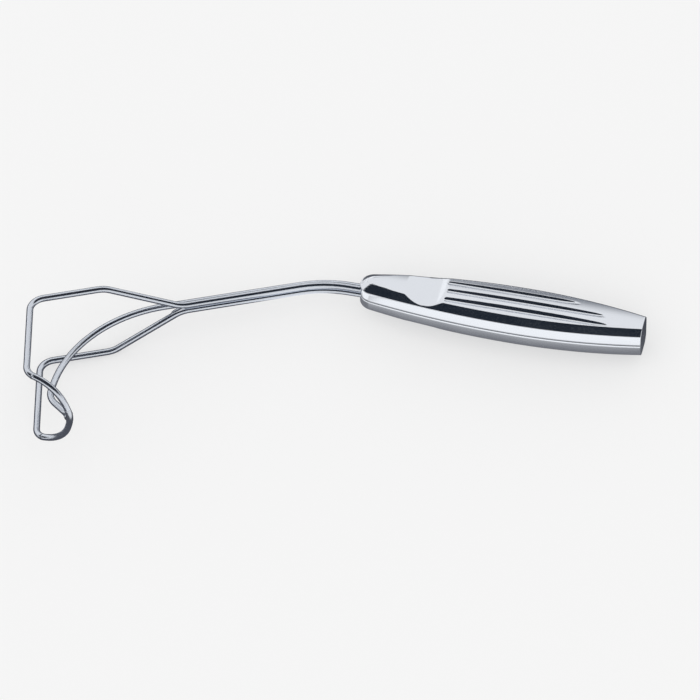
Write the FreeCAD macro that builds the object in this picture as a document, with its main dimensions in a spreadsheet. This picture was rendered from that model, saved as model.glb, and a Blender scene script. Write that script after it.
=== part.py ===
import FreeCAD, Part
import math
import os

import Sketcher
from FreeCAD import Placement, Rotation, Vector

# Wire blade retractor of polished stainless steel, lying on its side as it comes to rest.
# One bent wire forms the loop of the blade, a second wire is its middle rib, and both run
# back side by side as the shaft into a hollow handle of two stamped half shells.
# Tool frame: shaft along X towards the handle, blade pointing to -Y, Z across the blade.
# Handle frame: X from the nose to the butt, Z out of the upper fluted face.

doc = FreeCAD.newDocument("WireRetractor")

DRIVING = [
    ("wireDiameter", 2.7, "round wire of the loop and of the rib"),
    ("wireGap", 0.1, "brazing gap between wires that lie side by side"),
    ("bladeWidth", 35.5, "between the two legs of the loop, centre to centre"),
    ("fanLength", 29.3, "along the shaft, from the crotch to where the legs run parallel"),
    ("legLength", 29.7, "parallel stretch of each leg"),
    ("bladeDepth", 40.6, "from the leg corner down to the lip corner"),
    ("bladeAngle", 98.7, "between a leg and its upright"),
    ("lipAngle", 34.9, "of the lip plane below the line of the shaft"),
    ("lipReach", 18.2, "point of the lip ahead of the lip corners, before rounding"),
    ("shoulderReach", 12.5, "lip shoulders ahead of the lip corners, before rounding"),
    ("shoulderWidth", 32.4, "between the lip shoulders, before rounding"),
    ("crotchRadius", 8.0, "bend of a leg where it leaves the shaft"),
    ("fanRadius", 4.5, "bend of a leg where it turns parallel"),
    ("cornerRadius", 6.2, "bend between a leg and its upright"),
    ("lipCornerRadius", 5.7, "bend between an upright and the lip"),
    ("shoulderRadius", 16.4, "round shoulder of the lip"),
    ("lipRadius", 15.4, "round point of the lip"),
    ("sweepReach", 41.6, "corner of the rib's long bend, ahead of the crotch"),
    ("sweepRise", 2.6, "height of that corner above the legs"),
    ("sweepRadius", 52.0, "long bend of the rib"),
    ("heelReach", 58.0, "where the rib turns in towards the lip, ahead of the crotch"),
    ("heelDrop", 37.7, "depth of that turn below the legs"),
    ("heelRadius", 8.7, "bend of the rib at that turn"),
    ("toeReach", 54.0, "last gentle bend of the rib, ahead of the crotch"),
    ("toeDrop", 44.7, "depth of that bend below the legs"),
    ("toeRadius", 12.0, "last gentle bend of the rib"),
    ("ribCope", 0.5, "end of the rib behind the middle of the lip wire, before it is coped"),
    ("shaftLength", 58.2, "crotch to the bend of the shaft"),
    ("neckLength", 14.7, "bend of the shaft to the nose of the handle"),
    ("shaftRadius", 54.0, "bend of the shaft"),
    ("shaftTurn", 20.35, "swing of the handle towards the blade side"),
    ("shaftDip", 5.25, "lean of the handle out of the middle plane of the blade"),
    ("handleLength", 115.6, "nose to butt"),
    ("handleWidth", 21.3, "across the fluted face at its widest"),
    ("buttWidth", 12.0, "across the fluted face at the butt"),
    ("widestAt", 65.0, "widest place, from the nose"),
    ("frontRadius", 370.0, "long side of the outline ahead of the widest place"),
    ("handleThickness", 17.2, "through both fluted faces at the widest place"),
    ("crownAcross", 40.0, "radius of the fluted face across the handle"),
    ("crownAlong", 1250.0, "radius of the fluted face along the handle"),
    ("rimBevel", 2.4, "bevel between the fluted face and the sides"),
    ("sheetThickness", 1.2, "stamped sheet"),
    ("thumbAt", 27.0, "middle of the thumb rest, from the nose"),
    ("thumbLevel", 5.3, "floor of the thumb rest above the seam"),
    ("thumbRadius", 14.5, "scoop of the thumb rest"),
    ("fluteSpacing", 4.4, "between neighbouring flutes"),
    ("fluteRadius", 1.5, "round bottom of a flute"),
    ("fluteDepth", 0.65, "flute at the widest place"),
    ("chamberHeight", 6.2, "inside height of a shell behind the thumb rest"),
    ("chamberStart", 37.0, "front of that higher chamber, from the nose"),
    ("chamberInset", 2.0, "walls of that chamber, inside the outline"),
    ("openingDiameter", 6.6, "hole in the nose for the wires"),
    ("plugLength", 20.0, "back of the steel plug in the nose, from the nose"),
    ("plugRecess", 1.4, "front of the plug, from the nose"),
    ("spigotLength", 5.0, "round front part of the plug"),
    ("wireStop", 18.0, "ends of the wires inside the plug, from the nose"),
    ("brazeGap", 0.05, "around the plug"),
    ("boreGap", 0.1, "around each wire in the plug, where the three bores run into each other"),
    ("coreDiameter", 1.2, "middle hole of the plug, where the three bores meet"),
    ("restRoll", -24.87, "about the shaft, as the retractor comes to rest"),
    ("restPitch", 4.07, "along the shaft, as the retractor comes to rest"),
]


def fillSheet():
    sheet = doc.addObject("Spreadsheet::Sheet", "Sizes")
    for row, (alias, number, note) in enumerate(DRIVING, start=1):
        sheet.set(f"A{row}", alias)
        sheet.set(f"B{row}", str(number))
        sheet.setAlias(f"B{row}", alias)
        sheet.set(f"C{row}", note)
    doc.recompute()
    return sheet


sizes = fillSheet()


def value(formula):
    return float(sizes.evalExpression(formula))


# Formulas that several pieces share.
halfWidth = "handleWidth / 2"
halfThickness = "handleThickness / 2"
buttRun = "(handleLength - widestAt)"
buttTaper = "((handleWidth - buttWidth) / 2)"
# The long side behind the widest place has fallen by buttTaper at the butt.
rearRadius = f"(({buttRun} * {buttRun} + {buttTaper} * {buttTaper}) / (2 * {buttTaper}))"
# The nose circle passes through the tip and touches both front arcs from inside.
noseRadius = (
    f"((2 * frontRadius * {halfWidth} - {halfWidth} * {halfWidth} - widestAt * widestAt)"
    f" / (2 * (frontRadius - widestAt)))"
)
cavityHeight = "(thumbLevel - sheetThickness)"
# What cuts the crowned face reaches well past the outline on every side.
cutterReach = "(0.8 * handleWidth)"
cutterTop = "(handleThickness / 2 + rimBevel)"
cutterSweep = "2 * atan(handleLength / crownAlong)"
# Three wires touch two by two: the middles form a triangle of equal sides.
wirePitch = "(wireDiameter + wireGap)"
legOffset = f"({wirePitch} / 2)"
ribOffset = f"({wirePitch} / sqrt(3))"
legSetback = f"({wirePitch} / sqrt(12))"


def linked(formula):
    # The same formula with every size named by its sheet, for an object's own expression.
    names = sorted((alias for alias, number, note in DRIVING), key=len, reverse=True)
    for alias in names:
        formula = formula.replace(alias, f"Sizes.<{names.index(alias)}>")
    for index, alias in enumerate(names):
        formula = formula.replace(f"<{index}>", alias)
    return formula


def originPlane(body, role):
    for feature in body.Origin.OriginFeatures:
        if feature.Role == role:
            return feature
    raise ValueError(role)


def newSketch(body, name, role, offset="0"):
    sketch = body.newObject("Sketcher::SketchObject", name)
    sketch.AttachmentSupport = (originPlane(body, role), [""])
    sketch.MapMode = "FlatFace"
    sketch.setExpression("AttachmentOffset.Base.z", linked(offset))
    return sketch


def bind(sketch, kind, places, formula):
    index = sketch.addConstraint(Sketcher.Constraint(kind, *places, value(formula)))
    sketch.setExpression(f"Constraints[{index}]", linked(formula))


def tie(sketch, kind, *places):
    sketch.addConstraint(Sketcher.Constraint(kind, *places))


def addFeature(body, kind, name, sketch, formulas, **settings):
    feature = body.newObject(kind, name)
    feature.Profile = sketch
    for key, setting in settings.items():
        setattr(feature, key, setting)
    for key, formula in formulas.items():
        feature.setExpression(key, linked(formula))
    return feature


def edgesWhere(shape, test):
    return [f"Edge{i}" for i, edge in enumerate(shape.Edges, start=1) if test(edge)]


def sideArc(sketch, side, inset, radius, front, rear):
    # One long side of the outline between two stations; its middle is level with the widest place.
    big = value(f"{radius} - ({inset})")
    centre = Vector(value("widestAt"), -side * value(f"{radius} - {halfWidth}"), 0)

    def angleAt(station):
        along = station - centre.x
        return math.atan2(side * math.sqrt(big * big - along * along), along)

    first, last = sorted([angleAt(front), angleAt(rear)])
    circle = Part.Circle(centre, Vector(0, 0, 1), big)
    arc = sketch.addGeometry(Part.ArcOfCircle(circle, first, last), False)
    bind(sketch, "Radius", (arc,), f"{radius} - ({inset})")
    bind(sketch, "DistanceX", (-1, 1, arc, 3), "widestAt")
    upward = (arc, 3, -1, 1) if side > 0 else (-1, 1, arc, 3)
    bind(sketch, "DistanceY", upward, f"{radius} - {halfWidth}")
    return arc


def longSide(sketch, side, inset, front, rear):
    # The front arc of one side and, past the widest place, the rear arc that follows it there.
    widest = value("widestAt")
    first, last = (2, 1) if side > 0 else (1, 2)
    ahead = sideArc(sketch, side, inset, "frontRadius", front, min(rear, widest))
    if rear <= widest:
        return (ahead, first), (ahead, last)
    behind = sideArc(sketch, side, inset, rearRadius, widest, rear)
    tie(sketch, "Vertical", ahead, last, ahead, 3)
    tie(sketch, "Vertical", behind, first, behind, 3)
    return (ahead, first), (behind, last)


def crossLine(sketch, upper, lower, station):
    # A straight end across the handle that joins its two sides.
    places = (sketch.getPoint(*upper), sketch.getPoint(*lower))
    line = sketch.addGeometry(Part.LineSegment(*places), False)
    tie(sketch, "Coincident", line, 1, *upper)
    tie(sketch, "Coincident", line, 2, *lower)
    tie(sketch, "Vertical", line)
    bind(sketch, "DistanceX", (-1, 1, line, 1), station)


def handleOutline(body, name, inset, rear, front=None):
    # The handle seen onto its fluted face: round nose or straight front, sides, straight end.
    sketch = newSketch(body, name, "XY_Plane")
    nose = value(noseRadius)
    slope = math.atan2(value(f"frontRadius - {halfWidth}"), nose - value("widestAt"))
    touch = nose + (nose - value(inset)) * math.cos(slope)
    start = value(front) if front else touch
    upperFront, upperRear = longSide(sketch, 1, inset, start, value(rear))
    lowerFront, lowerRear = longSide(sketch, -1, inset, start, value(rear))
    if front:
        crossLine(sketch, upperFront, lowerFront, front)
    else:
        circle = Part.Circle(Vector(nose, 0, 0), Vector(0, 0, 1), nose - value(inset))
        cap = sketch.addGeometry(Part.ArcOfCircle(circle, slope, 2 * math.pi - slope), False)
        tie(sketch, "Tangent", *upperFront, cap, 1)
        tie(sketch, "Tangent", cap, 2, *lowerFront)
        bind(sketch, "DistanceX", (-1, 1, cap, 3), noseRadius)
    crossLine(sketch, upperRear, lowerRear, rear)
    return sketch


def roundSketch(body, name, role, offset, circles, radius):
    # Circles of one radius; each is given by the formulas of its middle.
    sketch = newSketch(body, name, role, offset)
    for across, upward in circles:
        middle = Vector(value(across), value(upward), 0)
        ring = sketch.addGeometry(Part.Circle(middle, Vector(0, 0, 1), value(radius)), False)
        bind(sketch, "Radius", (ring,), radius)
        for kind, formula in (("DistanceX", across), ("DistanceY", upward)):
            amount = value(formula)
            if abs(amount) < 1e-9:
                tie(sketch, "PointOnObject", ring, 3, -2 if kind == "DistanceX" else -1)
            elif amount > 0:
                bind(sketch, kind, (-1, 1, ring, 3), formula)
            else:
                bind(sketch, kind, (ring, 3, -1, 1), f"-({formula})")
    return sketch


def crownSketch(body):
    # What lies above the crowned face, to be turned away about a far axis below the handle.
    sketch = newSketch(body, "crownSection", "YZ_Plane", "widestAt")
    radius = value("crownAcross")
    reach = value(cutterReach)
    level = value(f"{halfThickness} - crownAcross")
    low = level + math.sqrt(radius * radius - reach * reach)
    high = value(cutterTop)
    angle = math.asin(reach / radius)
    circle = Part.Circle(Vector(0, level, 0), Vector(0, 0, 1), radius)
    crown = Part.ArcOfCircle(circle, math.pi / 2 - angle, math.pi / 2 + angle)
    arc = sketch.addGeometry(crown, False)
    corners = [(-reach, low), (-reach, high), (reach, high), (reach, low)]
    places = [Vector(x, y, 0) for x, y in corners]
    left = sketch.addGeometry(Part.LineSegment(places[0], places[1]), False)
    roof = sketch.addGeometry(Part.LineSegment(places[1], places[2]), False)
    right = sketch.addGeometry(Part.LineSegment(places[2], places[3]), False)
    hub = value(f"{halfThickness} - crownAlong")
    axis = sketch.addGeometry(Part.LineSegment(Vector(-reach, hub, 0), Vector(reach, hub, 0)), True)
    tie(sketch, "Coincident", arc, 2, left, 1)
    tie(sketch, "Coincident", left, 2, roof, 1)
    tie(sketch, "Coincident", roof, 2, right, 1)
    tie(sketch, "Coincident", right, 2, arc, 1)
    tie(sketch, "Vertical", left)
    tie(sketch, "Vertical", right)
    tie(sketch, "Horizontal", roof)
    tie(sketch, "PointOnObject", arc, 3, -2)
    tie(sketch, "Horizontal", axis)
    bind(sketch, "Radius", (arc,), "crownAcross")
    bind(sketch, "DistanceY", (arc, 3, -1, 1), f"crownAcross - {halfThickness}")
    bind(sketch, "DistanceX", (-1, 1, right, 1), cutterReach)
    bind(sketch, "DistanceX", (left, 1, -1, 1), cutterReach)
    bind(sketch, "DistanceY", (-1, 1, roof, 1), cutterTop)
    bind(sketch, "DistanceY", (axis, 1, -1, 1), f"crownAlong - {halfThickness}")
    bind(sketch, "DistanceX", (axis, 1, -1, 1), cutterReach)
    bind(sketch, "DistanceX", (-1, 1, axis, 2), cutterReach)
    return sketch


def shellForm(body):
    # The outside of one half: outline, crowned face and bevelled rim.
    outline = handleOutline(body, "outline", "0", "handleLength")
    addFeature(body, "PartDesign::Pad", "blank", outline, {"Length": halfThickness})
    crown = crownSketch(body)
    doc.recompute()
    sweep = {"Angle": cutterSweep}
    turned = addFeature(body, "PartDesign::Groove", "crown", crown, sweep, Midplane=True)
    turned.ReferenceAxis = (crown, ["Axis0"])
    doc.recompute()
    butt = value("handleLength")

    def alongRim(edge):
        box = edge.BoundBox
        return box.ZMin > value(f"{halfThickness} / 2") and box.XMin < butt - value("rimBevel")

    rim = body.newObject("PartDesign::Chamfer", "bevel")
    rim.Base = (turned, edgesWhere(turned.Shape, alongRim))
    rim.setExpression("Size", linked("rimBevel"))
    doc.recompute()


def thumbRest(body):
    # A scoop across the face where the thumb lies.
    middle = ("thumbAt", "thumbLevel + thumbRadius")
    scoop = roundSketch(body, "scoop", "XZ_Plane", "0", [middle], "thumbRadius")
    across = {"Length": "2 * handleWidth"}
    addFeature(body, "PartDesign::Pocket", "thumbRest", scoop, across, Midplane=True)
    doc.recompute()


def flutes(body):
    # Straight round-bottomed grooves from the thumb rest; they run out as the face falls away.
    sideDrop = "(crownAcross - sqrt(crownAcross * crownAcross - fluteSpacing * fluteSpacing))"
    bottom = f"{halfThickness} - fluteDepth + fluteRadius"
    beside = f"{bottom} - {sideDrop}"
    middles = [("-fluteSpacing", beside), ("0", bottom), ("fluteSpacing", beside)]
    rounds = roundSketch(body, "fluteRounds", "YZ_Plane", "thumbAt", middles, "fluteRadius")
    addFeature(body, "PartDesign::Pocket", "flutes", rounds, {"Length": "handleLength"}, Reversed=True)
    doc.recompute()


def hollow(body):
    # The inside: a low cavity along the whole shell and a higher one behind the thumb rest.
    rear = "handleLength - sheetThickness"
    low = handleOutline(body, "cavityOutline", "sheetThickness", rear)
    addFeature(body, "PartDesign::Pocket", "cavity", low, {"Length": cavityHeight}, Reversed=True)
    end = "handleLength - chamberInset"
    high = handleOutline(body, "chamberOutline", "chamberInset", end, "chamberStart")
    addFeature(body, "PartDesign::Pocket", "chamber", high, {"Length": "chamberHeight"}, Reversed=True)
    opening = roundSketch(body, "openingRound", "YZ_Plane", "0", [("0", "0")], "openingDiameter / 2")
    addFeature(body, "PartDesign::Pocket", "opening", opening, {"Length": "spigotLength"}, Reversed=True)
    doc.recompute()


def handleShell(label):
    body = doc.addObject("PartDesign::Body", label)
    body.Label = label
    shellForm(body)
    thumbRest(body)
    flutes(body)
    hollow(body)
    return body


def wireMiddles():
    # Two legs of the loop one above the other, the rib nested behind them.
    return [(f"-{legSetback}", legOffset), (f"-{legSetback}", f"-{legOffset}"), (ribOffset, "0")]


def nosePlug(label):
    # Forged plug that fills the nose and holds the three wires in bores.
    body = doc.addObject("PartDesign::Body", label)
    body.Label = label
    inset = "sheetThickness + brazeGap"
    outline = handleOutline(body, "plugOutline", inset, "plugLength", "spigotLength")
    height = {"Length": f"2 * ({cavityHeight} - brazeGap)"}
    addFeature(body, "PartDesign::Pad", "block", outline, height, Midplane=True)
    radius = "openingDiameter / 2 - brazeGap"
    spigot = roundSketch(body, "spigotRound", "YZ_Plane", "plugRecess", [("0", "0")], radius)
    addFeature(body, "PartDesign::Pad", "spigot", spigot, {"Length": "spigotLength"})
    bores = [(middle, "wireDiameter / 2 + boreGap") for middle in wireMiddles()]
    bores.append((("0", "0"), "coreDiameter / 2"))
    through = {"Length": "2 * plugLength"}
    for index, (middle, radius) in enumerate(bores, start=1):
        ring = roundSketch(body, f"boreRound{index}", "YZ_Plane", "0", [middle], radius)
        addFeature(body, "PartDesign::Pocket", f"bore{index}", ring, through, Reversed=True)
    doc.recompute()
    return body


def handlePlacement():
    # Nose of the handle in the tool frame.
    turn = Rotation(Vector(0, 0, 1), -value("shaftTurn")) * Rotation(Vector(0, 1, 0), value("shaftDip"))
    bend = Vector(value("shaftLength"), value(legSetback), 0)
    return Placement(bend + turn.multVec(Vector(value("neckLength"), 0, 0)), turn)


def bentWire(corners, radii, diameter):
    # Straight runs joined by tangent arcs, swept with the round section of the wire.
    edges = []
    start = corners[0]
    for before, corner, after, radius in zip(corners, corners[1:], corners[2:], radii):
        back = (before - corner).normalize()
        ahead = (after - corner).normalize()
        turn = math.pi - back.getAngle(ahead)
        run = radius * math.tan(turn / 2)
        inward = (back + ahead).normalize()
        middle = corner + inward * (radius / math.cos(turn / 2) - radius)
        edges.append(Part.LineSegment(start, corner + back * run).toShape())
        edges.append(Part.Arc(corner + back * run, middle, corner + ahead * run).toShape())
        start = corner + ahead * run
    edges.append(Part.LineSegment(start, corners[-1]).toShape())
    path = Part.Wire(edges)
    section = Part.Wire(Part.makeCircle(diameter / 2, corners[0], corners[1] - corners[0]))
    print("wire length", round(path.Length, 1))
    return path.makePipeShell([section], True, False)


def wireFeature(label, shape):
    feature = doc.addObject("Part::Feature", label)
    feature.Label = label
    feature.Shape = shape
    return feature


def lipPoint(reach, across):
    # A point in the slanting plane of the lip, counted from the middle of the lip corners.
    lean = math.radians(value("bladeAngle") - 90)
    fall = math.radians(value("lipAngle"))
    cornerX = -value("fanLength + legLength") - value("bladeDepth") * math.sin(lean)
    cornerY = -value("bladeDepth") * math.cos(lean)
    return Vector(cornerX + reach * math.cos(fall), cornerY - reach * math.sin(fall), across)


def leg(side, handle):
    # Corners of one leg of the loop, from inside the plug out to the shoulder of the lip.
    half = side * value("bladeWidth") / 2
    near = side * value(legOffset)
    back = -value(legSetback)
    corners = [handle.multVec(Vector(value(at), back, near)) for at in ("wireStop", "-neckLength")]
    corners.append(Vector(0, 0, near))
    corners.append(Vector(-value("fanLength"), 0, half))
    corners.append(Vector(-value("fanLength + legLength"), 0, half))
    corners.append(lipPoint(0, half))
    corners.append(lipPoint(value("shoulderReach"), side * value("shoulderWidth") / 2))
    return corners


def loopWire(label, handle):
    upper = leg(1, handle)
    lower = leg(-1, handle)
    corners = upper + [lipPoint(value("lipReach"), 0)] + lower[::-1]
    names = ["shaftRadius", "crotchRadius", "fanRadius"]
    names += ["cornerRadius", "lipCornerRadius", "shoulderRadius"]
    radii = [value(name) for name in names + ["lipRadius"] + names[::-1]]
    return wireFeature(label, bentWire(corners, radii, value("wireDiameter")))


def lipTop():
    # Middle of the lip wire at the rounded point of the lip.
    flank = Vector(value("lipReach - shoulderReach"), value("shoulderWidth") / 2, 0)
    turn = math.pi - 2 * math.atan2(flank.y, flank.x)
    cut = value("lipRadius") * (1 / math.cos(turn / 2) - 1)
    return lipPoint(value("lipReach") - cut, 0)


def ribWire(label, handle, loop):
    # The rib follows the middle plane and ends coped against the inside of the lip.
    top = lipTop()
    over = value(ribOffset)
    corners = [handle.multVec(Vector(value(at), over, 0)) for at in ("wireStop", "-neckLength")]
    corners.append(Vector(-value("sweepReach"), value("sweepRise"), 0))
    corners.append(Vector(-value("heelReach"), -value("heelDrop"), 0))
    corners.append(Vector(-value("toeReach"), -value("toeDrop"), 0))
    corners.append(top + (corners[-1] - top).normalize() * value("ribCope"))
    radii = [value(name) for name in ("shaftRadius", "sweepRadius", "heelRadius", "toeRadius")]
    return wireFeature(label, bentWire(corners, radii, value("wireDiameter")).cut(loop.Shape))


def checkAll(nodes):
    for thing in doc.Objects:
        if {"Invalid", "Error"} & set(thing.State):
            raise RuntimeError(f"{thing.Label} failed: {thing.State}")
    for node in nodes:
        if node.Shape.isNull() or not node.Shape.isValid():
            raise RuntimeError(f"{node.Label} has no valid shape")
        print(node.Label, "solids", len(node.Shape.Solids), "volume", round(node.Shape.Volume, 2))


def restPlacement(nodes):
    # Rolled and pitched as the retractor comes to rest, then set down over the origin.
    turn = Rotation(Vector(0, 1, 0), value("restPitch")) * Rotation(Vector(1, 0, 0), value("restRoll"))
    box = FreeCAD.BoundBox()
    for node in nodes:
        turned = node.Shape.copy()
        turned.Placement = Placement(Vector(), turn) * turned.Placement
        box.add(turned.optimalBoundingBox(False))
    return Placement(Vector(-box.Center.x, -box.Center.y, -box.ZMin), turn)


def main():
    handle = handlePlacement()
    upper = handleShell("handle_upper_shell")
    lower = handleShell("handle_lower_shell")
    plug = nosePlug("nose_plug")
    upper.Placement = handle
    lower.Placement = handle * Placement(Vector(), Rotation(Vector(1, 0, 0), 180))
    plug.Placement = handle
    loop = loopWire("loop_wire", handle)
    rib = ribWire("centre_wire", handle, loop)
    nodes = [upper, lower, plug, loop, rib]
    doc.recompute()
    checkAll(nodes)
    rest = restPlacement(nodes)
    print("set down by", [round(number, 4) for number in rest.Base])
    for node in nodes:
        node.Placement = rest * node.Placement
    os.makedirs("parts", exist_ok=True)
    for node in nodes:
        node.Shape.exportStep(os.path.join("parts", f"{node.Label}.step"))


main()
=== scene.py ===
import bmesh
import bpy
import numpy as np
from mathutils import Matrix, Vector


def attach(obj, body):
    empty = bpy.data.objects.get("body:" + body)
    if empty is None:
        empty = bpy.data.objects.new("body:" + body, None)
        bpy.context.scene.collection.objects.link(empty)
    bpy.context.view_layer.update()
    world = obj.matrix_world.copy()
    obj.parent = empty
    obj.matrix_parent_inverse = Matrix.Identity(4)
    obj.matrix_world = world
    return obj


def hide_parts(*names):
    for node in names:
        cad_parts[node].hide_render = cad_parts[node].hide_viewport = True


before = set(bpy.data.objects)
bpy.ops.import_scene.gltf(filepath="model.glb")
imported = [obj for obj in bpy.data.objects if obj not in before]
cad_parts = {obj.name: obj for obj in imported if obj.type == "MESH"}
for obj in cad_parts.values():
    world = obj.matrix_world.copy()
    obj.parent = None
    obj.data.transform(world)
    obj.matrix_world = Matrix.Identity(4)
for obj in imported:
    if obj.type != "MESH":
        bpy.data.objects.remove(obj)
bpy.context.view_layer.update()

# Wire blade retractor of polished stainless steel, at rest on a pale studio floor.
# Shapes are worked out in millimetres, in the tool's own frame: shaft along X towards the
# handle, blade pointing to -Y, Z across the blade. placeAtRest brings them into the scene.

toolRest = {
    "roll": -24.87,
    "pitch": 4.07,
    "setDown": (-58.3497, 21.6745, 15.2728),
}
mergeDistance = 1e-6  # metres


def turnMatrix(axis, degrees):
    # Turn about a main axis: cosine on the two other axes, plus and minus sine across them.
    angle = np.radians(degrees)
    first, second = [(1, 2), (2, 0), (0, 1)][axis]
    matrix = np.eye(3)
    matrix[first, first] = matrix[second, second] = np.cos(angle)
    matrix[first, second] = -np.sin(angle)
    matrix[second, first] = np.sin(angle)
    return matrix


restTurn = turnMatrix(1, toolRest["pitch"]) @ turnMatrix(0, toolRest["roll"])


def placeAtRest(points):
    # Points turned by roll and pitch, plus the place they are set down, over 1000 for metres.
    return (points @ restTurn.T + np.array(toolRest["setDown"])) / 1000


def unit(vector):
    # Vector over its own length, for one vector or a row of them.
    return vector / np.linalg.norm(vector, axis=-1, keepdims=True)


def gridFaces(rows, columns):
    # Quads of a grid whose columns close to a ring. A corner's number is row times columns plus
    # column; a quad joins it to the next in the ring and to the same two one row on.
    row = np.arange(rows - 1)[:, None] * columns
    here = np.arange(columns)[None, :]
    after = (here + 1) % columns
    corners = [row + here, row + after, row + columns + after, row + columns + here]
    return np.stack(corners, axis=-1).reshape(-1, 4).tolist()


def fanFaces(edge, middle):
    # Triangles from each two neighbours along an edge of numbered corners to one middle point.
    return np.stack([edge[:-1], edge[1:], np.full(len(edge) - 1, middle)], axis=1).tolist()


def putPiece(name, points, faces, slotName, nodes=()):
    # Mesh from finished arrays, placed at rest, doubles merged, every face smooth.
    mesh = bpy.data.meshes.new(name)
    mesh.from_pydata(placeAtRest(points).tolist(), [], faces)
    work = bmesh.new()
    work.from_mesh(mesh)
    bmesh.ops.remove_doubles(work, verts=work.verts, dist=mergeDistance)
    bmesh.ops.recalc_face_normals(work, faces=work.faces)
    work.to_mesh(mesh)
    work.free()
    mesh.polygons.foreach_set("use_smooth", np.ones(len(mesh.polygons), dtype=bool))
    piece = bpy.data.objects.new(name, mesh)
    bpy.context.collection.objects.link(piece)
    if nodes:
        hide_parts(*nodes)
    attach(piece, "root")
    print("piece", name, "with", len(mesh.polygons), "faces")
    return piece


# Finishes

steelFinish = {
    "shell": {"colour": (0.86, 0.892, 0.945), "rough": 0.14, "spread": 0.04, "scratch": 0.02},
    "wire": {"colour": (0.72, 0.76, 0.83), "rough": 0.20, "spread": 0.05, "scratch": 0.05},
    "plug": {"colour": (0.72, 0.725, 0.74), "rough": 0.28, "spread": 0.08, "scratch": 0.10},
    "weld": {"colour": (0.69, 0.72, 0.775), "rough": 0.22, "spread": 0.06, "scratch": 0.12},
    # The end face's darker colour is a painted dark reflection of what the polished end mirrors.
    "butt": {"colour": (0.42, 0.46, 0.52), "rough": 0.24, "spread": 0.05, "scratch": 0.08},
}
steelMarks = {
    "cloudScale": 60,
    "cloudDetail": 4,
    "cloudBand": (0.3, 0.7),
    "grainScale": 900,
    "grainDetail": 3,
    "grainDepth": 0.00005,
}


def noiseOn(tree, place, scale, detail):
    # Noise on the piece's own coordinates.
    noise = tree.nodes.new("ShaderNodeTexNoise")
    noise.inputs["Scale"].default_value = scale
    noise.inputs["Detail"].default_value = detail
    tree.links.new(place.outputs["Object"], noise.inputs["Vector"])
    return noise.outputs["Fac"]


def steelMaterial(name, finish):
    # Bare metal: a slow noise moves the roughness by half its spread either way, and a fine one
    # lifts the surface a little, as polishing marks do.
    material = bpy.data.materials.new(name)
    material.use_nodes = True
    tree = material.node_tree
    shader = tree.nodes["Principled BSDF"]
    shader.inputs["Metallic"].default_value = 1.0
    shader.inputs["Base Color"].default_value = (*finish["colour"], 1)
    place = tree.nodes.new("ShaderNodeTexCoord")
    cloud = noiseOn(tree, place, steelMarks["cloudScale"], steelMarks["cloudDetail"])
    spread = tree.nodes.new("ShaderNodeMapRange")
    spread.inputs["From Min"].default_value = steelMarks["cloudBand"][0]
    spread.inputs["From Max"].default_value = steelMarks["cloudBand"][1]
    spread.inputs["To Min"].default_value = finish["rough"] - finish["spread"] / 2
    spread.inputs["To Max"].default_value = finish["rough"] + finish["spread"] / 2
    tree.links.new(cloud, spread.inputs["Value"])
    tree.links.new(spread.outputs["Result"], shader.inputs["Roughness"])
    grain = noiseOn(tree, place, steelMarks["grainScale"], steelMarks["grainDetail"])
    bump = tree.nodes.new("ShaderNodeBump")
    bump.inputs["Strength"].default_value = finish["scratch"]
    bump.inputs["Distance"].default_value = steelMarks["grainDepth"]
    tree.links.new(grain, bump.inputs["Height"])
    tree.links.new(bump.outputs["Normal"], shader.inputs["Normal"])
    return material


steel = {key: steelMaterial("polished_" + key, finish) for key, finish in steelFinish.items()}
print("finishes ready")


# Shaft: a bundle of three wires, bent once before the handle

shaftSizes = {
    "diameter": 2.7,
    "pitch": 2.8,
    "length": 58.2,
    "neckLength": 14.7,
    "insideHandle": 18.0,
    "handleTurn": -20.35,
    "handleDip": 5.25,
    "around": 40,  # corners round a wire
}

wireRadius = shaftSizes["diameter"] / 2
handleTurn = turnMatrix(2, shaftSizes["handleTurn"]) @ turnMatrix(1, shaftSizes["handleDip"])
legSetback = shaftSizes["pitch"] / np.sqrt(12)
bendOfShaft = np.array([shaftSizes["length"], legSetback, 0])
noseOfHandle = bendOfShaft + handleTurn @ np.array([shaftSizes["neckLength"], 0, 0])


def fromHandle(points):
    # From the handle's own frame, X from the nose to the butt, into the tool's: turned by the
    # handle's turn and dip, plus the place of the nose.
    return np.asarray(points) @ handleTurn.T + noseOfHandle


def neckPoints(back, across):
    # Ends of a wire's straight run from inside the handle to the bend of the shaft, for a
    # place in the bundle: so far back along Y and so far across along Z.
    ends = (shaftSizes["insideHandle"], -shaftSizes["neckLength"])
    return list(fromHandle([[x, back, across] for x in ends]))


def bentPath(corners, radii, runStep=1.2, turnStep=3.0):
    # Straight runs joined by tangent arcs. An arc starts before its corner by radius times
    # tangent of half the turn, and it is its middle plus radius times cosine of the outward
    # direction and sine of the direction from run to run.
    parts = []
    start = corners[0]
    for before, corner, after, radius in zip(corners, corners[1:], corners[2:], radii):
        back, ahead = unit(before - corner), unit(after - corner)
        turn = np.pi - np.arccos(np.clip(back @ ahead, -1, 1))
        end = corner + back * radius * np.tan(turn / 2)
        count = max(2, int(np.linalg.norm(end - start) / runStep) + 1)
        parts.append(start + np.linspace(0, 1, count, endpoint=False)[:, None] * (end - start))
        outward, onward = -unit(back + ahead), unit(ahead - back)
        middle = corner - outward * radius / np.cos(turn / 2)
        count = max(4, int(np.degrees(turn) / turnStep) + 1)
        angle = np.linspace(-turn / 2, turn / 2, count)[:-1, None]
        parts.append(middle + radius * (np.cos(angle) * outward + np.sin(angle) * onward))
        start = corner + ahead * radius * np.tan(turn / 2)
    count = max(2, int(np.linalg.norm(corners[-1] - start) / runStep) + 1)
    parts.append(start + np.linspace(0, 1, count)[:, None] * (corners[-1] - start))
    return np.concatenate(parts)


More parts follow.
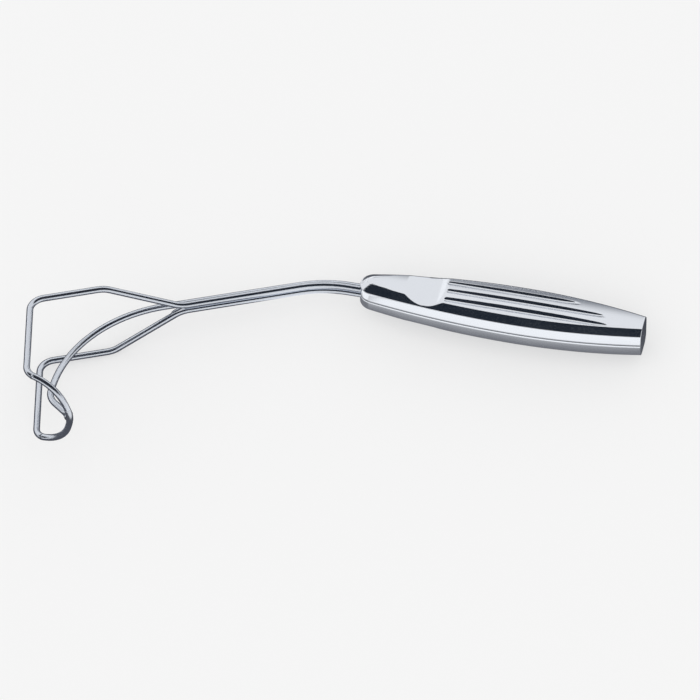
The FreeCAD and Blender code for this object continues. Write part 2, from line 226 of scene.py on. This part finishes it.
def tube(path, radius, reference):
    # Circle carried along the path: path plus radius times cosine of side and sine of up, where
    # side is tangent cross reference and up is side cross tangent.
    tangent = unit(np.gradient(path, axis=0))
    side = unit(np.cross(tangent, reference))
    up = np.cross(side, tangent)
    count = shaftSizes["around"]
    angle = np.arange(count)[None, :, None] * 2 * np.pi / count
    radius = np.broadcast_to(radius, len(path))[:, None, None]
    rings = path[:, None] + radius * (np.cos(angle) * side[:, None] + np.sin(angle) * up[:, None])
    points = np.concatenate([rings.reshape(-1, 3), path[:1], path[-1:]])
    firstRing = np.append(np.arange(count), 0)
    lastRing = firstRing + (len(path) - 1) * count
    middle = len(path) * count
    ends = fanFaces(firstRing, middle) + fanFaces(lastRing, middle + 1)
    return points, gridFaces(len(path), count) + ends


# Loop: one wire out along the upper leg, round the lip and back along the lower leg

loopSizes = {
    "fanLength": 29.3,
    "legLength": 29.7,
    "bladeWidth": 35.5,
    "bladeDepth": 40.6,
    "uprightLean": 8.7,
    "lipFall": 34.9,
    "lipReach": 18.2,
    "shoulderReach": 12.5,
    "shoulderWidth": 32.4,
    "bends": (54.0, 12.0, 10.0, 6.2, 5.7, 16.4),  # from the handle out to the shoulder
    "lipBend": 15.4,
}
ringStart = unit(np.array([0, 1.0, 1.0]))  # is along no run of the loop


def lipPoint(reach, across):
    # Point of the slanting lip: the foot of the blade plus reach times cosine of the lip's fall
    # towards the handle and sine of it onwards, and so far across.
    lean, fall = np.radians(loopSizes["uprightLean"]), np.radians(loopSizes["lipFall"])
    legEnd = -loopSizes["fanLength"] - loopSizes["legLength"]
    cornerX = legEnd - loopSizes["bladeDepth"] * np.sin(lean)
    cornerY = -loopSizes["bladeDepth"] * np.cos(lean)
    return np.array([cornerX + reach * np.cos(fall), cornerY - reach * np.sin(fall), across])


def legCorners(side):
    # Corners of one leg, from inside the handle out to the shoulder of the lip.
    atShaft = side * shaftSizes["pitch"] / 2
    atBlade = side * loopSizes["bladeWidth"] / 2
    fan = -loopSizes["fanLength"]
    return neckPoints(-legSetback, atShaft) + [
        np.array([0, 0, atShaft]),
        np.array([fan, 0, atBlade]),
        np.array([fan - loopSizes["legLength"], 0, atBlade]),
        lipPoint(0, atBlade),
        lipPoint(loopSizes["shoulderReach"], side * loopSizes["shoulderWidth"] / 2),
    ]


loopCorners = legCorners(1) + [lipPoint(loopSizes["lipReach"], 0)] + legCorners(-1)[::-1]
loopBends = loopSizes["bends"]
loopPath = bentPath(loopCorners, [*loopBends, loopSizes["lipBend"], *loopBends[::-1]])
loop = putPiece("blade_loop", *tube(loopPath, wireRadius, ringStart), "wire_steel", ["loop_wire"])
loop.data.materials.append(steel["wire"])


# Rib: the wire that sweeps down the middle of the blade and up to the lip

ribSizes = {
    "sweep": (-41.6, 2.6, 0),
    "heel": (-58.0, -37.7, 0),
    "toe": (-54.0, -44.7, 0),
    "bends": (54.0, 52.0, 8.7, 12.0),
    "shortOfLip": 0.5,
}
acrossBlade = np.array([0, 0, 1.0])

# The lip's round end lies inside its corner by the bend times one over cosine of half the turn.
flank = (loopSizes["lipReach"] - loopSizes["shoulderReach"], loopSizes["shoulderWidth"] / 2)
lipTurn = np.pi - 2 * np.arctan2(flank[1], flank[0])
insideCorner = loopSizes["lipBend"] * (1 / np.cos(lipTurn / 2) - 1)
lipTop = lipPoint(loopSizes["lipReach"] - insideCorner, 0)

ribCorners = neckPoints(shaftSizes["pitch"] / np.sqrt(3), 0)
ribCorners += [np.array(ribSizes[key]) for key in ("sweep", "heel", "toe")]
ribCorners.append(lipTop + unit(ribCorners[-1] - lipTop) * ribSizes["shortOfLip"])
ribPath = bentPath(ribCorners, ribSizes["bends"])
rib = putPiece("blade_rib", *tube(ribPath, wireRadius, acrossBlade), "wire_steel", ["centre_wire"])
rib.data.materials.append(steel["wire"])
print("wires placed")


# Weld bead along the lip: the wire a little thinner, so that its ends are sunk, plus a swell
# of one less the square of the share of the reach, to the power of one and a half.
beadSizes = {"reach": 4.5, "height": 0.2, "sunk": 0.03}

fromTop = np.linalg.norm(loopPath - lipTop, axis=1)
onBead = np.flatnonzero(fromTop < beadSizes["reach"])
beadPath = loopPath[onBead[0]:onBead[-1] + 1]
swell = np.clip(1 - (fromTop[onBead] / beadSizes["reach"]) ** 2, 0, 1) ** 1.5
beadRadius = wireRadius - beadSizes["sunk"] + beadSizes["height"] * swell
bead = putPiece("lip_weld_bead", *tube(beadPath, beadRadius, ringStart), "wire_steel")

# Weld flare at the rib's end: the same, widened by the square of the share left to go.
flareSizes = {"reach": 3.2, "height": 0.75, "sunk": 0.03, "count": 16}

upRib = np.linspace(0, 1, flareSizes["count"])
ribEnd, ribWay = ribCorners[-1], unit(ribCorners[-2] - ribCorners[-1])
flarePath = ribEnd + ribWay * (flareSizes["reach"] * upRib)[:, None]
flareRadius = wireRadius - flareSizes["sunk"] + flareSizes["height"] * (1 - upRib) ** 2
flare = putPiece("rib_weld_flare", *tube(flarePath, flareRadius, acrossBlade), "wire_steel")

# Braze where the lower leg leaves the rib: a short rod between the two, drawn in at both
# ends by the root of one less the fourth power of the way from its middle.
brazeSizes = {
    "start": (2.5, 0.4, 0.6),
    "end": (-4.2, 0.4, -2.75),
    "radius": 1.05,
    "least": 0.02,  # under the root, so that the ends stay open rings
    "count": 24,
}

alongBraze = np.linspace(0, 1, brazeSizes["count"])
brazeStart, brazeEnd = np.array(brazeSizes["start"]), np.array(brazeSizes["end"])
brazePath = brazeStart + alongBraze[:, None] * (brazeEnd - brazeStart)
drawnIn = np.clip(1 - (2 * alongBraze - 1) ** 4, brazeSizes["least"], 1) ** 0.5
brazeRadius = brazeSizes["radius"] * drawnIn
braze = putPiece("crotch_braze", *tube(brazePath, brazeRadius, acrossBlade), "wire_steel")
for piece in (bead, flare, braze):
    piece.data.materials.append(steel["weld"])
print("welds placed")


# Handle: two alike stamped shells

shellSizes = {
    "length": 115.6,
    "halfWidth": 10.65,
    "buttHalfWidth": 6.0,
    "buttHeight": 7.5,
    "widestAt": 65.0,
    "frontRadius": 370.0,
    "faceHeight": 8.6,
    "crownAcross": 40.0,
    "crownAlong": 1250.0,
    "bevel": 2.4,
    "wallRound": 0.7,
    "draft": 0.035,
    "edgeBlend": 0.45,
    "noseBlend": 3.2,
    "noseReach": 10.0,
    "seamRound": 0.07,
    "seamLand": 0.154,
    "seamGap": 0.05,
    "sheet": 1.2,
    "ceiling": 4.1,  # height of the inside
    "openingRadius": 3.3,
    "thumbAt": 27.0,
    "thumbLevel": 5.3,
    "thumbRadius": 14.5,
    "thumbBlend": 0.5,
    "thumbRunOut": 1.0,
    "thumbStretch": 1.1,
    "fluteSpacing": 4.65,
    "fluteShift": -0.4,
    "fluteRadius": 1.5,
    "fluteDepth": 0.8,
    "fluteBlend": 0.12,
    "fluteStarts": (36.3, 36.5, 35.8),
    "fluteEnds": (106.0, 104.0, 90.0),
    "fluteRunOut": 10.0,
    "fluteOutside": 4.0,  # how steeply the cutter's shape rises beside the flute
    "uncut": 99.0,  # a height above everything, where the scoop cuts nothing
    "buttRound": 0.35,
    "bandWidth": 3.1,
    # How finely each part is divided; the sections are closest where the flutes begin.
    "noseCount": 44,
    "alongStep": 0.36,
    "fineStep": 0.144,
    "fineFrom": 32.5,
    "fineTo": 38.5,
    "acrossCount": 92,
    "seamAngles": (30, 60, 90),
    "wallRows": 5,
    "roundRows": 4,
    "bevelRows": (7, 12),
    "bevelSplit": 0.55,
    "buttAngles": (22, 45, 68, 90),
}


def smoothMin(first, second, blend):
    # The lower of two heights, with the corner between them rounded: less a quarter of the
    # blend times the square of one less their difference over the blend.
    overlap = np.clip(blend - np.abs(first - second), 0, None) / blend
    return np.minimum(first, second) - overlap * overlap * blend / 4


def noseRadius(sizes):
    # Circle that touches the tip and the front arc: twice front times width, less the squares
    # of width and of the way to the widest place, over twice front less that way.
    width, widest, front = sizes["halfWidth"], sizes["widestAt"], sizes["frontRadius"]
    return (2 * front * width - width * width - widest * widest) / (2 * (front - widest))


def outline(sizes):
    # One side of the handle from the tip to the butt: nose circle, front arc, rear arc, each
    # arc the root of radius squared less distance squared, less radius less width.
    # Gives the points and the directions that point inwards there.
    width, widest, front = sizes["halfWidth"], sizes["widestAt"], sizes["frontRadius"]
    run, taper = sizes["length"] - widest, width - sizes["buttHalfWidth"]
    rear = (run * run + taper * taper) / (2 * taper)
    nose = noseRadius(sizes)
    touch = np.arctan2(front - width, widest - nose)
    angle = np.linspace(0, touch, sizes["noseCount"])
    points = [np.stack([nose - nose * np.cos(angle), nose * np.sin(angle)], axis=1)]
    inward = [np.stack([np.cos(angle), -np.sin(angle)], axis=1)]
    fineFrom, fineTo, step = sizes["fineFrom"], sizes["fineTo"], sizes["alongStep"]
    ahead = [np.arange(points[0][-1, 0], fineFrom, step)[1:]]
    ahead.append(np.arange(fineFrom, fineTo, sizes["fineStep"]))
    ahead.append(np.linspace(fineTo, widest, int((widest - fineTo) / step)))
    buttEdge = sizes["length"] - sizes["buttRound"]
    behind = np.linspace(widest, buttEdge, int(run / step))[1:]
    for x, radius in ((np.concatenate(ahead), front), (behind, rear)):
        y = np.sqrt(radius ** 2 - (x - widest) ** 2) - (radius - width)
        points.append(np.stack([x, y], axis=1))
        inward.append(np.stack([widest - x, width - radius - y], axis=1) / radius)
    return np.concatenate(points), np.concatenate(inward)


def crownHeight(sizes, x, y):
    # Plain crowned face: its height less the fall of two shallow arcs, one along and one across,
    # each radius less the root of radius squared less distance squared.
    along, across = sizes["crownAlong"], sizes["crownAcross"]
    fallAlong = along - np.sqrt(along ** 2 - (x - sizes["widestAt"]) ** 2)
    fallAcross = across - np.sqrt(across ** 2 - y ** 2)
    return sizes["faceHeight"] - fallAlong - fallAcross


def bevelRise(sizes, edge):
    # Slope of the bevel that cuts the same length off the crowned face and the wall:
    # one plus sine of the crown's lean at the edge, over its cosine.
    sine = edge / sizes["crownAcross"]
    return (1 + sine) / np.sqrt(1 - sine ** 2)


def fluteHeight(sizes, x, y, row, begin, end):
    # Floor of one flute, cut by a ball: level of its middle less the root of radius squared less
    # distance squared. It starts at once and lifts out by the square of the run-out's share.
    radius, runOut = sizes["fluteRadius"], sizes["fluteRunOut"]
    middle = row * sizes["fluteSpacing"] + sizes["fluteShift"]
    late = np.clip(x - end + runOut, 0, None) / runOut
    depth = sizes["fluteDepth"] * (1 - late * late)
    level = crownHeight(sizes, sizes["widestAt"], middle) - depth + radius
    away = np.hypot(y - middle, np.clip(begin - x, 0, None))
    ball = np.sqrt(np.clip(radius ** 2 - away ** 2, 0, None))
    return level - ball + sizes["fluteOutside"] * np.clip(away - radius, 0, None)


def scoopHeight(sizes, x):
    # Floor of the thumb rest: level plus radius less the root of radius squared less the
    # square of the way along, which counts for more towards the flutes.
    radius = sizes["thumbRadius"]
    stretch = np.where(x > sizes["thumbAt"], sizes["thumbStretch"], 1)
    along = (x - sizes["thumbAt"]) * stretch
    inside = np.clip(radius ** 2 - along ** 2, 0, None)
    floor = sizes["thumbLevel"] + radius - np.sqrt(inside)
    return np.where(inside > 0, floor, sizes["uncut"])


def topHeight(sizes, x, y, bevel):
    # The lowest of crowned face, bevel, three flutes and thumb rest, with rounded corners
    # that are softest at the nose and where the thumb rest runs out to the flutes.
    blend = sizes["edgeBlend"] + sizes["noseBlend"] * np.exp(-(x / sizes["noseReach"]) ** 2)
    height = smoothMin(crownHeight(sizes, x, y), bevel, blend)
    for row, begin, end in zip((-1, 0, 1), sizes["fluteStarts"], sizes["fluteEnds"]):
        flute = fluteHeight(sizes, x, y, row, begin, end)
        height = smoothMin(height, flute, sizes["fluteBlend"])
    blend = np.where(x > sizes["thumbAt"], sizes["thumbRunOut"], sizes["thumbBlend"])
    return smoothMin(height, scoopHeight(sizes, x), blend)


def bandRows(sizes, points, inward, side):
    # One side of the shell in rows, from the seam up: lip, quarter round, wall leaning in by its
    # draft, round above it, bevel. A row is the outline plus its depth inwards, at its height.
    edge = np.abs(points[:, 1])
    wallTop = crownHeight(sizes, points[:, 0], edge) - sizes["bevel"]
    rise = bevelRise(sizes, edge)
    opening = np.sqrt(np.clip(sizes["openingRadius"] ** 2 - edge ** 2, 0, None))
    opening = np.where(points[:, 0] < sizes["widestAt"], opening, 0)  # only in the nose
    low, seam = np.maximum(opening, sizes["seamGap"]), sizes["seamRound"]
    lipDepths = (sizes["sheet"], sizes["seamLand"], seam)
    rows = [(np.full_like(edge, depth), low) for depth in lipDepths]
    for angle in np.radians(sizes["seamAngles"]):
        depth = np.full_like(edge, seam * (1 - np.sin(angle)))
        rows.append((depth, low + seam * (1 - np.cos(angle))))
    draft, around = sizes["draft"], sizes["wallRound"]
    lean = np.arctan(draft)
    turn = np.pi / 2 - np.arctan(rise) - lean
    start = low + seam
    corner = draft * (wallTop - start) / (1 - draft * rise)  # depth where wall and bevel meet
    wallEnd = wallTop + rise * corner - around * np.tan(turn / 2) * np.cos(lean)
    for share in np.linspace(0, 1, sizes["wallRows"] + 1)[1:]:
        up = share * (wallEnd - start)
        rows.append((draft * up, start + up))
    for share in np.linspace(0, 1, sizes["roundRows"] + 1)[1:]:
        angle = lean + turn * share
        depth = draft * (wallEnd - start) + around * (np.cos(lean) - np.cos(angle))
        rows.append((depth, wallEnd + around * (np.sin(angle) - np.sin(lean))))
    last = rows[-1][0]
    split, (early, late) = sizes["bevelSplit"], sizes["bevelRows"]
    outerShares = np.linspace(0, split, early + 1)[1:]
    innerShares = np.linspace(split, 1, late + 1)[1:]
    for share in np.concatenate([outerShares, innerShares]):
        depth = last + share * (sizes["bandWidth"] - last)
        x = points[:, 0] + depth * inward[:, 0]
        y = points[:, 1] + depth * inward[:, 1]
        rows.append((depth, topHeight(sizes, x, y, wallTop + rise * depth)))
    depth, height = (np.stack(values, axis=1) for values in zip(*rows))
    x = points[:, :1] + depth * inward[:, :1]
    y = (points[:, 1:] + depth * inward[:, 1:]) * side
    return np.stack([x, y, height], axis=-1)


def faceBevel(sizes, points, x, y):
    # Height that the bevel would reach over the face: its wall top plus its slope times the
    # depth inside the outline, which is round at the nose and straight across behind it.
    nose = noseRadius(sizes)
    fromMiddle = np.hypot(x - nose, y)
    edge = np.interp(x, points[:, 0], points[:, 1])
    depth = np.where(x < nose, nose - fromMiddle, edge - np.abs(y))
    fromMiddle = np.maximum(fromMiddle, 0.1)  # never divides by nothing
    noseEdge = np.minimum(edge, np.abs(y) * nose / fromMiddle)
    edge = np.where(x < nose, noseEdge, edge)
    return crownHeight(sizes, x, edge) - sizes["bevel"] + bevelRise(sizes, edge) * depth


def shellMesh(sizes):
    # Closed section carried from the tip to the butt: wall, bevel, face, bevel, wall, inside.
    points, inward = outline(sizes)
    left = bandRows(sizes, points, inward, -1)
    right = bandRows(sizes, points, inward, 1)
    share = np.linspace(-1, 1, sizes["acrossCount"] + 1)[1:-1]
    x = np.repeat(right[:, -1, :1], len(share), axis=1)
    y = right[:, -1, 1:2] * share[None, :]
    height = topHeight(sizes, x, y, faceBevel(sizes, points, x, y))
    face = np.stack([x, y, height], axis=-1)
    outer = np.concatenate([left, face, right[:, ::-1]], axis=1)
    # The edge of the butt: the last section drawn in round a quarter circle.
    roundOff = [outer]
    for angle in np.radians(sizes["buttAngles"]):
        inset = sizes["buttRound"] * (1 - np.cos(angle))
        scale = (0, 1 - inset / sizes["buttHalfWidth"], 1 - inset / sizes["buttHeight"])
        section = outer[-1:] * np.array(scale)
        section[..., 0] = sizes["length"] - sizes["buttRound"] * (1 - np.sin(angle))
        section[..., 2] = np.maximum(section[..., 2], sizes["seamGap"])
        roundOff.append(section)
    outer = np.concatenate(roundOff)
    # The inside: up from the right rim, across the ceiling and down to the left rim.
    across = np.array([1, 1, 0.5, 0, -0.5, -1, -1])[None, :, None]
    up = np.array([0.5, 1, 1, 1, 1, 1, 0.5])
    inner = outer[:, -1:] * (1 + across) / 2 + outer[:, :1] * (1 - across) / 2
    inner[..., 2] += up * (sizes["ceiling"] - inner[..., 2])
    inner[..., 0] = np.minimum(inner[..., 0], sizes["length"] - sizes["sheet"])
    section = np.concatenate([outer, inner], axis=1)
    rows, columns = section.shape[:2]
    # The end wall: a fan outside and one inside, joined along the seam.
    ends = [[x, 0, sizes["seamGap"]] for x in (sizes["length"], sizes["length"] - sizes["sheet"])]
    vertices = np.concatenate([section.reshape(-1, 3), ends])
    front, back = rows * columns, rows * columns + 1
    base, count = (rows - 1) * columns, outer.shape[1]
    outerLast, innerLast = base + count - 1, base + columns - 1
    faces = gridFaces(rows, columns)
    faces += fanFaces(base + np.arange(count), front)
    faces += fanFaces(base + np.arange(count, columns), back)
    faces += [[outerLast, outerLast + 1, back, front], [innerLast, base, front, back]]
    return vertices, faces


shellPoints, shellFaces = shellMesh(shellSizes)
turnedOver = shellPoints * np.array([1, -1, -1])
endFace = {"facing": 0.995, "within": 0.0001}  # least cosine to the axis, metres from the end
buttAxis = restTurn @ handleTurn @ np.array([1.0, 0, 0])
buttPlace = placeAtRest(fromHandle([[shellSizes["length"], 0, 0]]))[0]
for name, points in (("upper", shellPoints), ("lower", turnedOver)):
    node = "handle_" + name + "_shell"
    shell = putPiece("shell_" + name, fromHandle(points), shellFaces, "shell_steel", [node])
    mesh = shell.data
    mesh.materials.append(steel["shell"])
    mesh.materials.append(steel["butt"])
    # The end face is flat, a little rougher and painted darker, a painted dark reflection: faces
    # square to the handle's axis, level with its end.
    normals = np.empty(len(mesh.polygons) * 3)
    centres = np.empty(len(mesh.polygons) * 3)
    mesh.polygons.foreach_get("normal", normals)
    mesh.polygons.foreach_get("center", centres)
    facing = normals.reshape(-1, 3) @ buttAxis > endFace["facing"]
    fromEnd = np.abs((centres.reshape(-1, 3) - buttPlace) @ buttAxis)
    onEnd = facing & (fromEnd < endFace["within"])
    mesh.polygons.foreach_set("material_index", onEnd.astype(np.int32))
    mesh.polygons.foreach_set("use_smooth", ~onEnd)

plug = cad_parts["nose_plug"]
for place in plug.material_slots:
    place.material = steel["plug"]
if not plug.material_slots:
    plug.data.materials.append(steel["plug"])
print("handle placed")


# Stage. The camera sees a pale floor. Reflections see tones of their own there: a dark floor
# with a pale card beside the handle and small ones at its nose and behind it.


def mathStep(tree, operation, *values):
    # One step of arithmetic between numbers or sockets.
    step = tree.nodes.new("ShaderNodeMath")
    step.operation = operation
    for socket, value in zip(step.inputs, values):
        if isinstance(value, (int, float)):
            socket.default_value = value
        else:
            tree.links.new(value, socket)
    return step.outputs["Value"]


def wayAlong(tree, source, direction):
    # How far a place or a view direction goes along one direction: their dot product.
    dot = tree.nodes.new("ShaderNodeVectorMath")
    dot.operation = "DOT_PRODUCT"
    dot.inputs[1].default_value = direction
    tree.links.new(source, dot.inputs[0])
    return dot.outputs["Value"]


def shareBetween(tree, source, start, end):
    # Share from 0 to 1 between two values, slow at both ends: three times its square less
    # twice its cube.
    ramp = tree.nodes.new("ShaderNodeMapRange")
    ramp.interpolation_type = "SMOOTHSTEP"
    ramp.inputs["From Min"].default_value = start
    ramp.inputs["From Max"].default_value = end
    tree.links.new(source, ramp.inputs["Value"])
    return ramp.outputs["Result"]


def colourBetween(tree, share, first, second):
    # Colour that goes from the first to the second with a share.
    mix = tree.nodes.new("ShaderNodeMix")
    mix.data_type = "RGBA"
    mix.inputs["A"].default_value = (*first, 1)
    mix.inputs["B"].default_value = (*second, 1)
    tree.links.new(share, mix.inputs["Factor"])
    return mix.outputs["Result"]


def shaderBetween(tree, share, first, second):
    # Shader that goes from the first to the second with a share.
    mix = tree.nodes.new("ShaderNodeMixShader")
    tree.links.new(share, mix.inputs["Fac"])
    tree.links.new(first, mix.inputs[1])
    tree.links.new(second, mix.inputs[2])
    return mix.outputs["Shader"]


def emission(tree, colour, strength=1.0):
    # Glow of one colour.
    glow = tree.nodes.new("ShaderNodeEmission")
    glow.inputs["Color"].default_value = (*colour, 1)
    glow.inputs["Strength"].default_value = strength
    return glow


def stagePlane(name, low, high, height, material):
    # A level rectangle between two corners.
    mesh = bpy.data.meshes.new(name)
    outlineCorners = [(low[0], low[1]), (high[0], low[1]), (high[0], high[1]), (low[0], high[1])]
    mesh.from_pydata([(x, y, height) for x, y in outlineCorners], [], [(0, 1, 2, 3)])
    mesh.materials.append(material)
    plane = bpy.data.objects.new(name, mesh)
    bpy.context.collection.objects.link(plane)
    return plane


floorSizes = {
    "reach": 6.0,
    "colour": (0.93, 0.93, 0.93),
    "tone": (0.91, 0.91, 0.91),
    "even": 0.55,  # share of the even tone that the camera sees, so that the shadow is faint
    "dark": (0.096, 0.10, 0.117),
    "card": (1.0, 1.0, 1.0),
    "nearCard": (0.033, 0.052),  # from the handle's axis outwards
    "nearCurve": 2.5,  # how the card's edge bends with the handle
    "nearEnd": (-0.085, -0.07),
    # Painted shade beside the handle, for reflections: the half tone and how far out it rises.
    "reflectedShadeTone": 0.115,
    "reflectedShadeTo": 0.0165,
    "noseCard": (0.074, 0.080),
    "noseCardEnd": (0.092, 0.105),
    "noseCardNear": (-0.02, -0.01),
    "farCard": (0.035, 0.05),
    "farCardFrom": (-0.165, -0.145),
    "farCardTo": (-0.08, -0.065),
    "leftCard": (0.10, 0.14),
}

floorMaterial = bpy.data.materials.new("stage_floor")
floorMaterial.use_nodes = True
tree = floorMaterial.node_tree
floorShader = tree.nodes["Principled BSDF"]
floorShader.inputs["Base Color"].default_value = (*floorSizes["colour"], 1)
floorShader.inputs["Roughness"].default_value = 1.0
floorShader.inputs["Specular IOR Level"].default_value = 0.0

# Distances in metres from below the handle's widest place: towards the butt, the near side,
# the far side and beyond the nose.
alongFloor = unit(buttAxis[:2])
nearSide = np.array([alongFloor[1], -alongFloor[0]])
underHandle = placeAtRest(fromHandle([[shellSizes["widestAt"], 0, 0]]))[0][:2]
spot = tree.nodes.new("ShaderNodeTexCoord").outputs["Object"]
toButt, toNear = (
    mathStep(tree, "SUBTRACT", wayAlong(tree, spot, (*way, 0)), float(way @ underHandle))
    for way in (alongFloor, nearSide)
)
toFar = mathStep(tree, "MULTIPLY", toNear, -1.0)
toNose = mathStep(tree, "MULTIPLY", toButt, -1.0)

# Near card: its edge follows the handle, by distance plus curve times the square of the way along.
# The strip between the handle's axis and that edge is painted shade of the floor beside the
# handle, as reflections see it: dark at the axis, then a half tone.
curved = mathStep(tree, "MULTIPLY", toButt, toButt)
curved = mathStep(tree, "MULTIPLY_ADD", curved, floorSizes["nearCurve"], toNear)
nearCard = shareBetween(tree, curved, *floorSizes["nearCard"])
nearCard = mathStep(tree, "MULTIPLY", nearCard, 1 - floorSizes["reflectedShadeTone"])
reflectedShadeTone = shareBetween(tree, curved, 0.0, floorSizes["reflectedShadeTo"])
nearCard = mathStep(tree, "MULTIPLY_ADD", reflectedShadeTone, floorSizes["reflectedShadeTone"], nearCard)
nearEnd = shareBetween(tree, toButt, *floorSizes["nearEnd"])
nearCard = mathStep(tree, "MULTIPLY", nearCard, nearEnd)

# Far cards, on the far side beyond the nose: one beside the shaft, one wider and further off.
farEnd = shareBetween(tree, toButt, *floorSizes["farCardTo"])
farCard = shareBetween(tree, toFar, *floorSizes["farCard"])
farStart = shareBetween(tree, toButt, *floorSizes["farCardFrom"])
farCard = mathStep(tree, "SUBTRACT", mathStep(tree, "MULTIPLY", farCard, farStart), farEnd)
leftCard = shareBetween(tree, toFar, *floorSizes["leftCard"])
leftCard = mathStep(tree, "SUBTRACT", leftCard, farEnd)

# Nose card: a short strip across the shaft, just ahead of the nose.
noseCard = shareBetween(tree, toNose, *floorSizes["noseCard"])
noseNear = shareBetween(tree, toNear, *floorSizes["noseCardNear"])
noseEnd = shareBetween(tree, toNose, *floorSizes["noseCardEnd"])
noseCard = mathStep(tree, "SUBTRACT", mathStep(tree, "MULTIPLY", noseCard, noseNear), noseEnd)

cards = nearCard
for card in (farCard, leftCard, noseCard):
    cards = mathStep(tree, "MAXIMUM", cards, card)
floorGlow = emission(tree, floorSizes["card"])
floorTone = colourBetween(tree, cards, floorSizes["dark"], floorSizes["card"])
tree.links.new(floorTone, floorGlow.inputs["Color"])
evenTone = emission(tree, floorSizes["tone"]).outputs["Emission"]
rays = tree.nodes.new("ShaderNodeLightPath").outputs
evenShare = mathStep(tree, "MULTIPLY", rays["Is Camera Ray"], floorSizes["even"])
floorSeen = shaderBetween(tree, evenShare, floorShader.outputs["BSDF"], evenTone)
floorGlow = floorGlow.outputs["Emission"]
floorSeen = shaderBetween(tree, rays["Is Glossy Ray"], floorSeen, floorGlow)
tree.links.new(floorSeen, tree.nodes["Material Output"].inputs["Surface"])
floorReach = floorSizes["reach"]
corners = ((-floorReach, -floorReach), (floorReach, floorReach))
stagePlane("stage_floor", *corners, 0.0, floorMaterial)


# Ceiling: a dark card that only reflections see

ceilingSizes = {
    "low": (-4.0, -1.22),
    "high": (4.0, 0.99),
    "height": 1.2,
    "colour": (0.36, 0.60, 1.0),
    "light": 0.0215,
}

ceilingMaterial = bpy.data.materials.new("stage_ceiling")
ceilingMaterial.use_nodes = True
tree = ceilingMaterial.node_tree
glow = emission(tree, ceilingSizes["colour"], ceilingSizes["light"])
tree.links.new(glow.outputs["Emission"], tree.nodes["Material Output"].inputs["Surface"])
corners = (ceilingSizes["low"], ceilingSizes["high"])
ceiling = stagePlane("stage_ceiling", *corners, ceilingSizes["height"], ceilingMaterial)
ceiling.visible_camera = False
ceiling.visible_diffuse = False
ceiling.visible_shadow = False
ceiling.visible_transmission = False


# Room: white light all round, dimmer towards the far horizon in reflections

roomSizes = {
    "light": (1.0, 1.0, 1.0),
    "seen": (0.835, 0.835, 0.84),
    "horizon": (0.20, 0.21, 0.235),
    "slant": (0.0, -0.45, 1.0),  # height less a share of the way to the far side
    "sides": 1.5,  # how much sooner it brightens along the handle
    "band": (-0.40, -0.05),
}

room = bpy.data.worlds.new("white_room")
bpy.context.scene.world = room
room.use_nodes = True
tree = room.node_tree
light = tree.nodes["Background"]
light.inputs["Color"].default_value = (*roomSizes["light"], 1)
view = tree.nodes.new("ShaderNodeTexCoord").outputs["Generated"]
sideways = wayAlong(tree, view, (*alongFloor, 0))
sideways = mathStep(tree, "MULTIPLY", sideways, sideways)
slant = wayAlong(tree, view, roomSizes["slant"])
level = mathStep(tree, "MULTIPLY_ADD", sideways, roomSizes["sides"], slant)
fade = shareBetween(tree, level, *roomSizes["band"])
mirrored = tree.nodes.new("ShaderNodeBackground")
roomTone = colourBetween(tree, fade, roomSizes["horizon"], roomSizes["seen"])
tree.links.new(roomTone, mirrored.inputs["Color"])
glossy = tree.nodes.new("ShaderNodeLightPath").outputs["Is Glossy Ray"]
backgrounds = (light.outputs["Background"], mirrored.outputs["Background"])
roomSeen = shaderBetween(tree, glossy, *backgrounds)
tree.links.new(roomSeen, tree.nodes["World Output"].inputs["Surface"])
print("stage ready")


# Camera

cameraSizes = {
    "right": (0.977, -0.1315, -0.088),
    "up": (0.155, 0.695, 0.694),
    "acrossMiddle": 67.55,
    "upMiddle": -16.65,
    "distance": 4.0,
    "frameWidth": 0.28,
    "clipEnd": 50,
}

right = unit(np.array(cameraSizes["right"]))
up = np.array(cameraSizes["up"])
up = unit(up - right * (up @ right))
middle = right * cameraSizes["acrossMiddle"] + up * cameraSizes["upMiddle"]
axes = [restTurn @ axis for axis in (right, up, np.cross(right, up))]
eye = placeAtRest(middle[None])[0] + axes[2] * cameraSizes["distance"]
lens = bpy.data.cameras.new("studio_camera")
lens.lens = lens.sensor_width * cameraSizes["distance"] / cameraSizes["frameWidth"]
lens.clip_end = cameraSizes["clipEnd"]
camera = bpy.data.objects.new("studio_camera", lens)
bpy.context.collection.objects.link(camera)
matrix = Matrix(np.array(axes).T.tolist()).to_4x4()
matrix.translation = Vector(eye.tolist())
camera.matrix_world = matrix
bpy.context.scene.camera = camera
bpy.context.scene.view_settings.view_transform = "Standard"
print("camera set")

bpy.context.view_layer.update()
